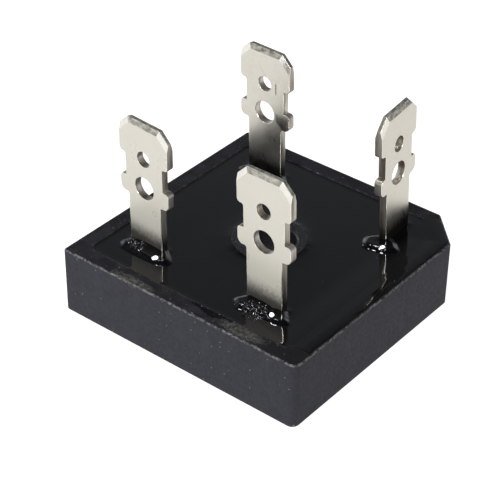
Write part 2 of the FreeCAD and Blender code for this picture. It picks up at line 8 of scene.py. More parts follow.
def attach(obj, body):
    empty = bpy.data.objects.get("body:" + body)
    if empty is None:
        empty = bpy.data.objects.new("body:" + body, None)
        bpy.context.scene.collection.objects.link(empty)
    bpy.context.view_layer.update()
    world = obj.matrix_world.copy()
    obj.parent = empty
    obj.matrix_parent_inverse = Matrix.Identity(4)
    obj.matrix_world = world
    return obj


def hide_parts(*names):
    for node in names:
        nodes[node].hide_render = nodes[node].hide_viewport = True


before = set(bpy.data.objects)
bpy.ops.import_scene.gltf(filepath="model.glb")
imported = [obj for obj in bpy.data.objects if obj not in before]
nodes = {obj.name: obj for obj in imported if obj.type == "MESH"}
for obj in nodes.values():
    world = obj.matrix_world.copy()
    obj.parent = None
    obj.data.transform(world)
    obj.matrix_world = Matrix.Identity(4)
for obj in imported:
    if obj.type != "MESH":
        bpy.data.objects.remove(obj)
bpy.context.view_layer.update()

MM = 0.001
bpy.ops.object.select_all(action="DESELECT")
bpy.context.scene.view_settings.view_transform = "Standard"

# Studio: a white sweep lit from above, and a long lens that looks down over the front corner.
# The lens, its distance and its slight roll are those that fit the corners of the case in the photo.
LENS_AZIMUTH = math.radians(38.40)
LENS_RISE = math.radians(35.39)
LENS_ROLL = math.radians(0.853)
LENS_DISTANCE = 170.62 * MM
LENS_AIM = Vector((-3.08, 0.84, 4.1)) * MM

towards_lens = Vector((
    math.sin(LENS_AZIMUTH) * math.cos(LENS_RISE),
    -math.cos(LENS_AZIMUTH) * math.cos(LENS_RISE),
    math.sin(LENS_RISE)))
level_right = Vector((math.cos(LENS_AZIMUTH), math.sin(LENS_AZIMUTH), 0))
level_up = towards_lens.cross(level_right)
lens_right = math.cos(LENS_ROLL) * level_right + math.sin(LENS_ROLL) * level_up
lens_up = towards_lens.cross(lens_right)
lens_turn = Matrix((lens_right, lens_up, towards_lens)).transposed()
bpy.ops.object.camera_add(
    location=LENS_AIM + towards_lens * LENS_DISTANCE, rotation=lens_turn.to_euler())
camera = bpy.context.object
camera.name = "photo_camera"
camera.data.lens = 122.3
camera.data.sensor_width = 36
camera.data.clip_start = 0.01
camera.data.clip_end = 20
bpy.context.scene.camera = camera

bpy.ops.mesh.primitive_plane_add(size=3, location=(0, 0, -0.00003))
floor = bpy.context.object
floor.name = "white_sweep"
sweep_paper = bpy.data.materials.new("white_paper")
sweep_paper.use_nodes = True
paper_nodes = sweep_paper.node_tree.nodes
paper_links = sweep_paper.node_tree.links
paper = paper_nodes["Principled BSDF"]
paper.inputs["Roughness"].default_value = 0.9
paper.inputs["Specular IOR Level"].default_value = 0.0
paper.inputs["Emission Strength"].default_value = 1.0
paper.inputs["Emission Color"].default_value = (1, 1, 1, 1)
paper_place = paper_nodes.new("ShaderNodeTexCoord")
paper_fibre = paper_nodes.new("ShaderNodeTexNoise")
paper_fibre.inputs["Scale"].default_value = 400
paper_tone = paper_nodes.new("ShaderNodeValToRGB")
paper_tone.color_ramp.elements[0].color = (0.30, 0.30, 0.30, 1)
paper_tone.color_ramp.elements[1].color = (0.33, 0.33, 0.33, 1)
paper_links.new(paper_place.outputs["Object"], paper_fibre.inputs["Vector"])
paper_links.new(paper_fibre.outputs["Fac"], paper_tone.inputs["Fac"])
paper_links.new(paper_tone.outputs["Color"], paper.inputs["Base Color"])
floor.data.materials.append(sweep_paper)


def add_node(tree, kind, **settings):
    """A shader node with its values: names with a capital are sockets, the rest its own settings."""
    made = tree.nodes.new("ShaderNode" + kind)
    for name, setting in settings.items():
        if name[0].isupper():
            made.inputs[name.replace("_", " ")].default_value = setting
        else:
            setattr(made, name, setting)
    return made


def calc(tree, operation, *terms):
    """A Math node on sockets or numbers, and the socket that it puts out."""
    made = add_node(tree, "Math", operation=operation)
    for number, term in enumerate(terms):
        if isinstance(term, bpy.types.NodeSocket):
            tree.links.new(term, made.inputs[number])
        else:
            made.inputs[number].default_value = term
    return made.outputs[0]


def ramp(tree, share, low, high, to_low=0.0, to_high=1.0, soft=False):
    """Takes a value from one range to another, and holds it at the ends."""
    made = add_node(tree, "MapRange", interpolation_type="SMOOTHSTEP" if soft else "LINEAR")
    made.inputs["From Min"].default_value = low
    made.inputs["From Max"].default_value = high
    made.inputs["To Min"].default_value = to_low
    made.inputs["To Max"].default_value = to_high
    tree.links.new(share, made.inputs["Value"])
    return made.outputs["Result"]


# Round the part the white sweep runs up to the horizon, brightest at the front left, and the ceiling is dim.
room = bpy.data.worlds.new("studio_room")
bpy.context.scene.world = room
room.use_nodes = True
tree = room.node_tree
sky = tree.nodes["Background"]
sky.inputs["Color"].default_value = (0.88, 0.93, 1.0, 1)
way = add_node(tree, "TexCoord")
apart = add_node(tree, "SeparateXYZ")
tree.links.new(way.outputs["Generated"], apart.inputs["Vector"])
rise = apart.outputs["Z"]
front_left = calc(tree, "ADD", calc(tree, "MULTIPLY", apart.outputs["X"], -0.62),
                  calc(tree, "MULTIPLY", apart.outputs["Y"], -0.785))
horizon = calc(tree, "MULTIPLY", ramp(tree, rise, 0.05, 0.42, 1.0, 0.0, soft=True),
               ramp(tree, front_left, -1.0, 1.0, 0.35, 1.5))
dusk = calc(tree, "MULTIPLY", ramp(tree, rise, 0.45, 0.85, 0.29, 0.06, soft=True),
            ramp(tree, apart.outputs["X"], -0.3, 0.5, 1.0, 0.35))
tree.links.new(calc(tree, "ADD", horizon, dusk), sky.inputs["Strength"])

# A small soft box hangs over the part and is mirrored as an oval on the bead round each terminal. A second
# lights the front wall and isn't mirrored. The third, beside the lens, is only mirrored: it lights the terminals'
# arrises, which the epoxy mirrors as streaks.
LAMPS = [
    ("top_box", (-0.19, -0.03, 0.60), 0.09, 0.08, 1.0),
    ("front_box", (0.0, -0.52, 0.31), 0.30, 0.20, 1.9),
    ("edge_box", (0.383, -0.304, 0.347), 0.30, 0.13, 9.0),
]
for name, place, length, breadth, power in LAMPS:
    bpy.ops.object.light_add(type="AREA", location=place)
    lamp = bpy.context.object
    lamp.name = name
    lamp.data.shape = "ELLIPSE"
    lamp.data.size = length
    lamp.data.size_y = breadth
    lamp.data.energy = power
    lamp.rotation_euler = Vector(place).to_track_quat("Z", "Y").to_euler()
    lamp.visible_diffuse = name != "edge_box"
    lamp.visible_glossy = name != "front_box"


# Base plate: a punched and nickel-plated heat spreader that closes the cup from below. Its screw hole
# is drawn through, and its face is left as it was brushed.
def edit_only(piece, mode="VERT"):
    """Leaves everything else and opens one piece in edit mode with nothing selected."""
    if bpy.context.object and bpy.context.object.mode != "OBJECT":
        bpy.ops.object.mode_set(mode="OBJECT")
    bpy.ops.object.select_all(action="DESELECT")
    bpy.context.view_layer.objects.active = piece
    piece.select_set(True)
    bpy.ops.object.mode_set(mode="EDIT")
    bpy.ops.mesh.select_mode(type=mode)
    bpy.ops.mesh.select_all(action="DESELECT")


def pick(piece, test, kind="verts"):
    """Selects the vertices, edges or faces of the open piece whose middle passes a test."""
    mesh = bmesh.from_edit_mesh(piece.data)
    for item in getattr(mesh, kind):
        if kind == "verts":
            spot = item.co
        elif kind == "edges":
            spot = (item.verts[0].co + item.verts[1].co) / 2
        else:
            spot = item.calc_center_median()
        item.select_set(test(spot))
    mesh.select_flush_mode()
    bmesh.update_edit_mesh(piece.data)


def refine(node_name, piece_name, arris_width, least_angle=35):
    """A merged copy of a CAD node with its arrises rounded over, which then stands for that node."""
    source = nodes[node_name]
    piece = source.copy()
    piece.data = source.data.copy()
    piece.name = piece_name
    bpy.context.scene.collection.objects.link(piece)
    for key in list(piece.keys()):
        del piece[key]
    edit_only(piece)
    bpy.ops.mesh.select_all(action="SELECT")
    bpy.ops.mesh.remove_doubles(threshold=0.002 * MM)
    bpy.ops.mesh.dissolve_limited(angle_limit=math.radians(1))
    bpy.ops.object.mode_set(mode="OBJECT")
    bpy.ops.object.shade_smooth_by_angle(angle=math.radians(32))
    arris = piece.modifiers.new("arris", "BEVEL")
    arris.width = arris_width
    arris.segments = 2
    arris.limit_method = "ANGLE"
    arris.angle_limit = math.radians(least_angle)
    arris.harden_normals = True
    bpy.ops.object.modifier_apply(modifier=arris.name)
    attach(piece, "root")
    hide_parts(node_name)
    return piece


def new_finish(name, rough, metal=0.0):
    """A material with its Principled shader set to the values that are the same all over."""
    finish = bpy.data.materials.new(name)
    finish.use_nodes = True
    shader = finish.node_tree.nodes["Principled BSDF"]
    shader.inputs["Roughness"].default_value = rough
    shader.inputs["Metallic"].default_value = metal
    return finish, finish.node_tree, shader


def dress(piece, finish):
    piece.data.materials.clear()
    piece.data.materials.append(finish)


def new_group(name, takes, gives):
    """A shader node group with number inputs, and its two ends."""
    group = bpy.data.node_groups.new(name, "ShaderNodeTree")
    for label, start in takes.items():
        kind = "NodeSocketVector" if isinstance(start, tuple) else "NodeSocketFloat"
        group.interface.new_socket(label, in_out="INPUT", socket_type=kind).default_value = start
    for label in gives:
        group.interface.new_socket(label, in_out="OUTPUT", socket_type="NodeSocketFloat")
    return group, group.nodes.new("NodeGroupInput"), group.nodes.new("NodeGroupOutput")


def use_group(tree, group, **settings):
    made = tree.nodes.new("ShaderNodeGroup")
    made.node_tree = group
    for name, setting in settings.items():
        made.inputs[name].default_value = setting
    return made


def between(tree, share, first, second):
    """Goes from one colour to another, each a socket or three numbers, and returns the socket."""
    made = add_node(tree, "Mix", data_type="RGBA")
    tree.links.new(share, made.inputs[0])
    for number, colour in ((6, first), (7, second)):
        if isinstance(colour, bpy.types.NodeSocket):
            tree.links.new(colour, made.inputs[number])
        else:
            made.inputs[number].default_value = (*colour, 1)
    return made.outputs[2]


def roughen(tree, shader, height, depth):
    """Feeds a height in units of depth (m) to the shader's normal."""
    bump = add_node(tree, "Bump", Distance=depth)
    tree.links.new(height, bump.inputs["Height"])
    tree.links.new(bump.outputs["Normal"], shader.inputs["Normal"])
    return bump


# Grain: two noises on the object's own coordinates, in grains per mm, drawn out along any axis.
grain, inlet, outlet = new_group("grain", {"PerMm": 1.0, "Stretch": (1.0, 1.0, 1.0)}, ["Coarse", "Fine"])
own_place = add_node(grain, "TexCoord")
drawn = add_node(grain, "VectorMath", operation="MULTIPLY")
grain.links.new(own_place.outputs["Object"], drawn.inputs[0])
grain.links.new(inlet.outputs["Stretch"], drawn.inputs[1])
for output, finer in (("Coarse", 1000), ("Fine", 4700)):
    patches = add_node(grain, "TexNoise", Detail=3.0, Roughness=0.6)
    grain.links.new(drawn.outputs["Vector"], patches.inputs["Vector"])
    grain.links.new(calc(grain, "MULTIPLY", inlet.outputs["PerMm"], finer), patches.inputs["Scale"])
    grain.links.new(patches.outputs["Fac"], outlet.inputs[output])

# Specks: one dot in some of the cells of a scatter. Spacing is in mm, and Size is a share of it.
specks, inlet, outlet = new_group("specks", {"Spacing": 0.6, "Share": 0.3, "Size": 0.2}, ["Mask"])
own_place = add_node(specks, "TexCoord")
scatter = add_node(specks, "TexVoronoi")
specks.links.new(own_place.outputs["Object"], scatter.inputs["Vector"])
specks.links.new(calc(specks, "DIVIDE", 1000.0, inlet.outputs["Spacing"]), scatter.inputs["Scale"])
cell = add_node(specks, "SeparateColor")
specks.links.new(scatter.outputs["Color"], cell.inputs["Color"])
chosen = calc(specks, "LESS_THAN", cell.outputs["Red"], inlet.outputs["Share"])
dot_size = calc(specks, "MULTIPLY", inlet.outputs["Size"], calc(specks, "ADD", 0.4, cell.outputs["Green"]))
inside = calc(specks, "LESS_THAN", scatter.outputs["Distance"], dot_size)
specks.links.new(calc(specks, "MULTIPLY", chosen, inside), outlet.inputs["Mask"])

# Rubbed edges: where the normal turns within Width (m) of an arris, broken up by a noise.
rubbed, inlet, outlet = new_group("rubbed_edges", {"Width": 0.0001, "PerMm": 1.0, "Wear": 0.5}, ["Mask"])
own_place = add_node(rubbed, "TexCoord")
turned = add_node(rubbed, "Bevel", samples=6)
flat = add_node(rubbed, "NewGeometry")
facing = add_node(rubbed, "VectorMath", operation="DOT_PRODUCT")
rubbed.links.new(inlet.outputs["Width"], turned.inputs["Radius"])
rubbed.links.new(turned.outputs["Normal"], facing.inputs[0])
rubbed.links.new(flat.outputs["Normal"], facing.inputs[1])
edge = ramp(rubbed, facing.outputs["Value"], 0.995, 0.90)
chips = add_node(rubbed, "TexNoise", Detail=4.0, Roughness=0.7)
rubbed.links.new(own_place.outputs["Object"], chips.inputs["Vector"])
rubbed.links.new(calc(rubbed, "MULTIPLY", inlet.outputs["PerMm"], 1000.0), chips.inputs["Scale"])
kept = calc(rubbed, "ADD", chips.outputs["Fac"], calc(rubbed, "SUBTRACT", inlet.outputs["Wear"], 0.5))
rubbed.links.new(calc(rubbed, "MULTIPLY", edge, ramp(rubbed, kept, 0.45, 0.62)), outlet.inputs["Mask"])

nickel_plate, tree, shader = new_finish("nickel_plate", 0.34, 1.0)
strokes = use_group(tree, grain, PerMm=1.6, Stretch=(0.04, 1.0, 1.0))
marks = use_group(tree, specks, Spacing=1.4, Share=0.15, Size=0.12)
worn = use_group(tree, rubbed, Width=0.0002, PerMm=1.2, Wear=0.45)
tone = between(tree, strokes.outputs["Coarse"], (0.50, 0.485, 0.45), (0.66, 0.645, 0.61))
tone = between(tree, marks.outputs["Mask"], tone, (0.30, 0.28, 0.25))
tree.links.new(between(tree, worn.outputs["Mask"], tone, (0.70, 0.55, 0.40)), shader.inputs["Base Color"])
tree.links.new(ramp(tree, strokes.outputs["Fine"], 0.3, 0.7, 0.26, 0.42), shader.inputs["Roughness"])
roughen(tree, shader, strokes.outputs["Fine"], 0.004 * MM)
spreader = refine("base_plate", "heat_spreader", 0.08 * MM)
dress(spreader, nickel_plate)


# Insulator: a thin plate of alumina, fired white, that keeps the circuit off the heat spreader.
alumina, tree, shader = new_finish("alumina", 0.6)
grit = use_group(tree, grain, PerMm=1.0)
tone = between(tree, grit.outputs["Coarse"], (0.72, 0.71, 0.67), (0.86, 0.85, 0.82))
tree.links.new(tone, shader.inputs["Base Color"])
tree.links.new(ramp(tree, grit.outputs["Fine"], 0.3, 0.7, 0.5, 0.7), shader.inputs["Roughness"])
roughen(tree, shader, grit.outputs["Fine"], 0.006 * MM)
dress(nodes["ceramic_insulator"], alumina)


# Circuit: copper frames and straps, punched and stepped, with four dice soldered between them. All of it
# is under the epoxy, so the CAD solids stay and only take their finishes.
bare_copper, tree, shader = new_finish("bare_copper", 0.35, 1.0)
stain = use_group(tree, grain, PerMm=0.5)
worn = use_group(tree, rubbed, Width=0.00012, PerMm=1.5, Wear=0.5)
tone = between(tree, stain.outputs["Coarse"], (0.62, 0.27, 0.15), (0.80, 0.42, 0.28))
tree.links.new(between(tree, worn.outputs["Mask"], tone, (0.88, 0.55, 0.40)), shader.inputs["Base Color"])
tree.links.new(ramp(tree, stain.outputs["Fine"], 0.3, 0.7, 0.28, 0.48), shader.inputs["Roughness"])
roughen(tree, shader, stain.outputs["Fine"], 0.003 * MM)

silicon_die, tree, shader = new_finish("silicon_die", 0.2, 0.6)
polish = use_group(tree, grain, PerMm=0.8)
tone = between(tree, polish.outputs["Coarse"], (0.07, 0.075, 0.09), (0.12, 0.125, 0.15))
tree.links.new(tone, shader.inputs["Base Color"])
tree.links.new(ramp(tree, polish.outputs["Fine"], 0.3, 0.7, 0.14, 0.28), shader.inputs["Roughness"])

frozen_solder, tree, shader = new_finish("frozen_solder", 0.35, 1.0)
frost = use_group(tree, grain, PerMm=1.5)
tone = between(tree, frost.outputs["Coarse"], (0.50, 0.50, 0.49), (0.68, 0.68, 0.67))
tree.links.new(tone, shader.inputs["Base Color"])
tree.links.new(ramp(tree, frost.outputs["Fine"], 0.3, 0.7, 0.28, 0.5), shader.inputs["Roughness"])
roughen(tree, shader, frost.outputs["Coarse"], 0.01 * MM)
for name, node in nodes.items():
    if name.startswith(("ac_frame", "plus_strap", "minus_strap")):
        dress(node, bare_copper)
    elif name.startswith("die_"):
        dress(node, silicon_die)
    elif "solder" in name:
        dress(node, frozen_solder)


# Terminals: four alike, punched from tinned strip. The punch leaves rounded arrises and rough sheared sides,
# and coining thins the tip. Each stands a little askew. The front and left ones are made mostly matt and less
# metallic as painted light, and the plus one darker as painted shade, though all four are one strip. To match
# the photo's brightness the front and left ones are mostly matt and the plus one is duller, though all four are
# one strip.
TERMINALS = {
    "terminal_ac_front": -1.5,
    "terminal_minus": -3.3,
    "terminal_ac_back": -1.6,
    "terminal_plus": -86.0,
}


def daub(tree, place, centre, reach, noise_level):
    """A patch of colour, from its middle and its reach along each axis (mm). A noise frays its outline."""
    away = add_node(tree, "VectorMath", operation="SUBTRACT")
    away.inputs[1].default_value = Vector(centre) * MM
    tree.links.new(place, away.inputs[0])
    share = add_node(tree, "VectorMath", operation="DIVIDE")
    share.inputs[1].default_value = Vector(reach) * MM
    tree.links.new(away.outputs["Vector"], share.inputs[0])
    far = add_node(tree, "VectorMath", operation="LENGTH")
    tree.links.new(share.outputs["Vector"], far.inputs[0])
    fray = calc(tree, "MULTIPLY", calc(tree, "SUBTRACT", noise_level, 0.5), 1.6)
    ragged = calc(tree, "ADD", far.outputs["Value"], fray)
    return ramp(tree, ragged, 1.05, 0.85)


tinned_strip, tree, shader = new_finish("tinned_strip", 0.3, 1.0)
cut_side = add_node(tree, "Attribute", attribute_name="cut_side").outputs["Fac"]
coined = add_node(tree, "Attribute", attribute_name="coined").outputs["Fac"]
plus_painted_shade = add_node(tree, "Attribute", attribute_name="plus_painted_shade").outputs["Fac"]
painted_light_matt = add_node(tree, "Attribute", attribute_name="painted_light_matt").outputs["Fac"]
arris = add_node(tree, "Attribute", attribute_name="arris").outputs["Fac"]
own_place = add_node(tree, "TexCoord").outputs["Object"]
apart = add_node(tree, "SeparateXYZ")
tree.links.new(own_place, apart.inputs["Vector"])
cloud = use_group(tree, grain, PerMm=0.35)
rolled = use_group(tree, grain, PerMm=1.2, Stretch=(1.0, 1.0, 0.12))
pits = use_group(tree, specks, Spacing=0.9, Share=0.05, Size=0.09)
worn = use_group(tree, rubbed, Width=0.00009, PerMm=1.5, Wear=0.6)
tone = between(tree, cloud.outputs["Coarse"], (0.52, 0.495, 0.43), (0.66, 0.635, 0.57))
tone = between(tree, ramp(tree, cloud.outputs["Fine"], 0.5, 0.75, 0.0, 0.35), tone, (0.48, 0.455, 0.39))
# Painted shade: the plus blade's colour is made darker than the other three.
tone = between(tree, plus_painted_shade, tone, (0.47, 0.44, 0.375))
# Painted light: the front and left blades take a mostly matt colour of their own.
tone = between(tree, painted_light_matt, tone, (0.55, 0.522, 0.45))
tone = between(tree, pits.outputs["Mask"], tone, (0.20, 0.18, 0.15))
crumbled = use_group(tree, grain, PerMm=2.4, Stretch=(0.6, 1.0, 1.0))
struck = between(tree, ramp(tree, crumbled.outputs["Coarse"], 0.40, 0.60), (0.17, 0.16, 0.13), (0.42, 0.405, 0.345))
tone = between(tree, coined, tone, struck)
scratch = daub(tree, own_place, (-6.60, 9.2, 17.8), (0.09, 0.5, 0.78), cloud.outputs["Fine"])
ring = calc(tree, "SUBTRACT", daub(tree, own_place, (-7.16, -8.6, 11.67), (0.34, 0.6, 0.34), 0.5),
            daub(tree, own_place, (-7.16, -8.6, 11.67), (0.24, 0.6, 0.24), 0.5))
marks = calc(tree, "MAXIMUM", calc(tree, "MULTIPLY", scratch, 0.75), calc(tree, "MULTIPLY", ring, 0.30))
tone = between(tree, marks, tone, (0.10, 0.09, 0.07))
sheared = between(tree, ramp(tree, rolled.outputs["Coarse"], 0.38, 0.62), (0.20, 0.165, 0.135), (0.52, 0.49, 0.43))
tone = between(tree, cut_side, tone, sheared)
# Painted shade: each blade darkens to near black towards its foot, up to a wavy line above the epoxy.
streaky = use_group(tree, grain, PerMm=0.9, Stretch=(1.0, 1.0, 0.5))
waver = calc(tree, "MULTIPLY", calc(tree, "SUBTRACT", streaky.outputs["Fine"], 0.5), 1.1 * MM)
painted_shade_line = calc(tree, "ADD", apart.outputs["Z"], waver)
tone = between(tree, ramp(tree, painted_shade_line, 7.9 * MM, 10.2 * MM, 0.96, 0.0, soft=True), tone, (0.035, 0.032, 0.026))
lighter_edges = calc(tree, "MAXIMUM", worn.outputs["Mask"], calc(tree, "MULTIPLY", arris, 0.8))
tree.links.new(between(tree, lighter_edges, tone, (0.80, 0.78, 0.72)), shader.inputs["Base Color"])
smooth_part = ramp(tree, cloud.outputs["Coarse"], 0.3, 0.7, 0.26, 0.34)
rougher = calc(tree, "MAXIMUM", calc(tree, "MULTIPLY", cut_side, 0.14), calc(tree, "MULTIPLY", coined, 0.16))
uneven = calc(tree, "ADD", smooth_part, rougher)
polish = calc(tree, "SUBTRACT", 1.0, calc(tree, "MULTIPLY", arris, 0.6))
tree.links.new(calc(tree, "MULTIPLY", uneven, polish), shader.inputs["Roughness"])
# Painted light: the front and left blades are made less metallic, so they look brighter.
painted_light_metal_cut = calc(tree, "MULTIPLY", painted_light_matt, calc(tree, "SUBTRACT", 1.0, cut_side))
tree.links.new(calc(tree, "SUBTRACT", 1.0, painted_light_metal_cut), shader.inputs["Metallic"])
torn = calc(tree, "ADD", 0.12, calc(tree, "MAXIMUM", cut_side, coined))
ridges = calc(tree, "MULTIPLY", rolled.outputs["Fine"], torn)
roughen(tree, shader, ridges, 0.02 * MM)
for node_name, turn in TERMINALS.items():
    blade = refine(node_name, node_name.replace("terminal", "blade"), 0.11 * MM)
    broad = Vector((-math.sin(math.radians(turn)), math.cos(math.radians(turn)), 0))
    strip = blade.data
    shear = strip.attributes.new("cut_side", "FLOAT", "FACE")
    coin = strip.attributes.new("coined", "FLOAT", "FACE")
    plus_painted_shade_values = strip.attributes.new("plus_painted_shade", "FLOAT", "FACE")
    painted_light_matt_values = strip.attributes.new("painted_light_matt", "FLOAT", "FACE")
    rounded = strip.attributes.new("arris", "FLOAT", "FACE")
    for face in strip.polygons:
        across = abs(face.normal.dot(broad))
        shear.data[face.index].value = float(across < 0.3)
        rounded.data[face.index].value = float(0.3 <= across < 0.96 and abs(face.normal.z) < 0.3)
        coin.data[face.index].value = float(across >= 0.3 and face.normal.z > 0.12 and face.center.z > 18 * MM)
        plus_painted_shade_values.data[face.index].value = 0.5 if node_name == "terminal_plus" else 0.0
        faces_front = node_name in ("terminal_ac_front", "terminal_minus")
        painted_light_matt_values.data[face.index].value = 0.85 if faces_front and not rounded.data[face.index].value else 0.0
    dress(blade, tinned_strip)


# Case: a square cup moulded in black filled plastic, with one corner cut to mark the plus terminal. It is
# glued over the heat spreader. Its edges are rubbed, its top outer arrises are lighter as partly rubbed wear
# and partly painted highlight, and its rim is smeared with epoxy in places.
case_plastic, tree, shader = new_finish("case_plastic", 0.6)
shader.inputs["Specular IOR Level"].default_value = 0.12
own_place = add_node(tree, "TexCoord").outputs["Object"]
apart = add_node(tree, "SeparateXYZ")
tree.links.new(own_place, apart.inputs["Vector"])
on_top = ramp(tree, apart.outputs["Z"], 7.30 * MM, 7.38 * MM)
mottle = use_group(tree, grain, PerMm=0.55)
pores = use_group(tree, grain, PerMm=3.2)
runs = use_group(tree, grain, PerMm=0.8, Stretch=(1.0, 1.0, 0.3))
dust = use_group(tree, specks, Spacing=0.5, Share=0.20, Size=0.13)
rim_dust = use_group(tree, specks, Spacing=0.35, Share=0.22, Size=0.16)
worn = use_group(tree, rubbed, Width=0.00025, PerMm=1.6, Wear=0.50)
arris = add_node(tree, "Attribute", attribute_name="arris").outputs["Fac"]
# Partly rubbed wear, partly painted highlight: the top outer arrises are made lighter.
arris_wear_and_highlight = calc(tree, "MULTIPLY", arris, ramp(tree, pores.outputs["Coarse"], 0.42, 0.60, 0.10, 1.0))
lighter_edges = calc(tree, "MAXIMUM", calc(tree, "MULTIPLY", worn.outputs["Mask"], 0.8), arris_wear_and_highlight)
tone = between(tree, mottle.outputs["Coarse"], (0.0235, 0.0240, 0.0305), (0.0335, 0.0345, 0.0425))
tone = between(tree, ramp(tree, pores.outputs["Coarse"], 0.60, 0.32, 0.0, 0.30), tone, (0.008, 0.008, 0.010))
tone = between(tree, ramp(tree, pores.outputs["Fine"], 0.62, 0.76, 0.0, 0.45), tone, (0.090, 0.090, 0.100))
tone = between(tree, ramp(tree, runs.outputs["Coarse"], 0.52, 0.72, 0.0, 0.2), tone, (0.050, 0.050, 0.060))
patchy = ramp(tree, mottle.outputs["Coarse"], 0.38, 0.56, 1.0, 0.35)
on_right = ramp(tree, apart.outputs["X"], 8 * MM, 10.5 * MM)
smear = calc(tree, "MULTIPLY", on_top, calc(tree, "MAXIMUM", patchy, on_right))
tone = between(tree, smear, tone, (0.010, 0.010, 0.012))
daubs = [daub(tree, own_place, (7.4, -13.3, 7.4), (2.6, 0.80, 0.6), mottle.outputs["Fine"]),
         daub(tree, own_place, (-5.5, -13.8, 7.4), (2.6, 0.60, 0.6), mottle.outputs["Fine"])]
crust = calc(tree, "MAXIMUM", *daubs)
pool = daub(tree, own_place, (3.6, -12.75, 7.4), (2.6, 0.55, 0.5), mottle.outputs["Coarse"])
wet = calc(tree, "MULTIPLY", on_top, pool)
tone = between(tree, wet, tone, (0.005, 0.005, 0.006))
crust_share = ramp(tree, mottle.outputs["Fine"], 0.35, 0.68)
crust_tone = between(tree, crust_share, (0.020, 0.0195, 0.0195), (0.120, 0.116, 0.110))
tone = between(tree, crust, tone, crust_tone)
tone = between(tree, calc(tree, "MULTIPLY", dust.outputs["Mask"], 0.6), tone, (0.26, 0.26, 0.27))
from_wall = calc(tree, "ABSOLUTE", calc(tree, "ADD", apart.outputs["Y"], 12.55 * MM))
by_wall = ramp(tree, from_wall, 0.12 * MM, 0.35 * MM, 0.9, 0.2)
rim_specks = calc(tree, "MULTIPLY", calc(tree, "MULTIPLY", rim_dust.outputs["Mask"], on_top), by_wall)
tone = between(tree, rim_specks, tone, (0.32, 0.32, 0.32))
tree.links.new(between(tree, lighter_edges, tone, (0.17, 0.168, 0.165)), shader.inputs["Base Color"])
dry = ramp(tree, mottle.outputs["Fine"], 0.3, 0.7, 0.56, 0.70)
wetter = calc(tree, "ADD", calc(tree, "MULTIPLY", smear, 0.16), calc(tree, "MULTIPLY", wet, 0.3))
tree.links.new(calc(tree, "SUBTRACT", dry, wetter), shader.inputs["Roughness"])
crumbs = calc(tree, "MULTIPLY", crust, calc(tree, "MULTIPLY", mottle.outputs["Fine"], 5.0))
relief = calc(tree, "ADD", mottle.outputs["Fine"], crumbs)
roughen(tree, shader, relief, 0.02 * MM)
cup = refine("case", "moulded_case", 0.10 * MM)
rounded = cup.data.attributes.new("arris", "FLOAT", "FACE")
for face in cup.data.polygons:
    outermost = max(abs(face.center.x), abs(face.center.y), (face.center.x + face.center.y) / math.sqrt(2) - 3.0 * MM)
    slopes = 0.15 < abs(face.normal.z) < 0.98
    rounded.data[face.index].value = float(slopes and face.center.z > 7.2 * MM and outermost > 13.9 * MM)
dress(cup, case_plastic)


# Sleeve: a turned plastic tube that lines the screw hole and keeps the epoxy out of it.
sleeve_plastic, tree, shader = new_finish("sleeve_plastic", 0.3)
rings = use_group(tree, grain, PerMm=0.8, Stretch=(1.0, 1.0, 3.0))
dust = use_group(tree, specks, Spacing=0.7, Share=0.12, Size=0.10)
tone = between(tree, rings.outputs["Coarse"], (0.008, 0.008, 0.009), (0.016, 0.016, 0.018))
tone = between(tree, calc(tree, "MULTIPLY", dust.outputs["Mask"], 0.5), tone, (0.12, 0.12, 0.12))
tree.links.new(tone, shader.inputs["Base Color"])
tree.links.new(ramp(tree, rings.outputs["Fine"], 0.3, 0.7, 0.2, 0.36), shader.inputs["Roughness"])
roughen(tree, shader, rings.outputs["Fine"], 0.004 * MM)
tube = refine("centre_sleeve", "hole_sleeve", 0.08 * MM)
dress(tube, sleeve_plastic)


# Potting: black epoxy, poured into the cup and cured. It creeps up the terminals, the sleeve and the
# cup's wall, holds froth beside two terminals, and has run out over the rim on the right.
POTTING_LEVEL = 7.25 * MM
RIM_LEVEL = 7.4 * MM
CUP_HALF = 12.45 * MM
CUP_CORNER = 1.0 * MM
CUP_CUT_REACH = 15.77 * MM
HOLE_HALF = 3.2 * MM
NEAR_HOLE = 5 * MM
PLATE_TOP = 1.2 * MM
SHAFT_FEET = {
    "front": (Vector((6.31, -8.34)) * MM, -1.5),
    "minus": (Vector((-8.48, -8.15)) * MM, -3.3),
    "back": (Vector((-7.97, 9.65)) * MM, -1.6),
    "plus": (Vector((8.67, 8.79)) * MM, -86.0),
}
SHAFT_HALF = 2.12 * MM
STRIP_HALF = 0.40 * MM
BEAD_WIDTH, BEAD_FOOT, BEAD_HEIGHT = 1.3 * MM, 0.72 * MM, 0.37 * MM
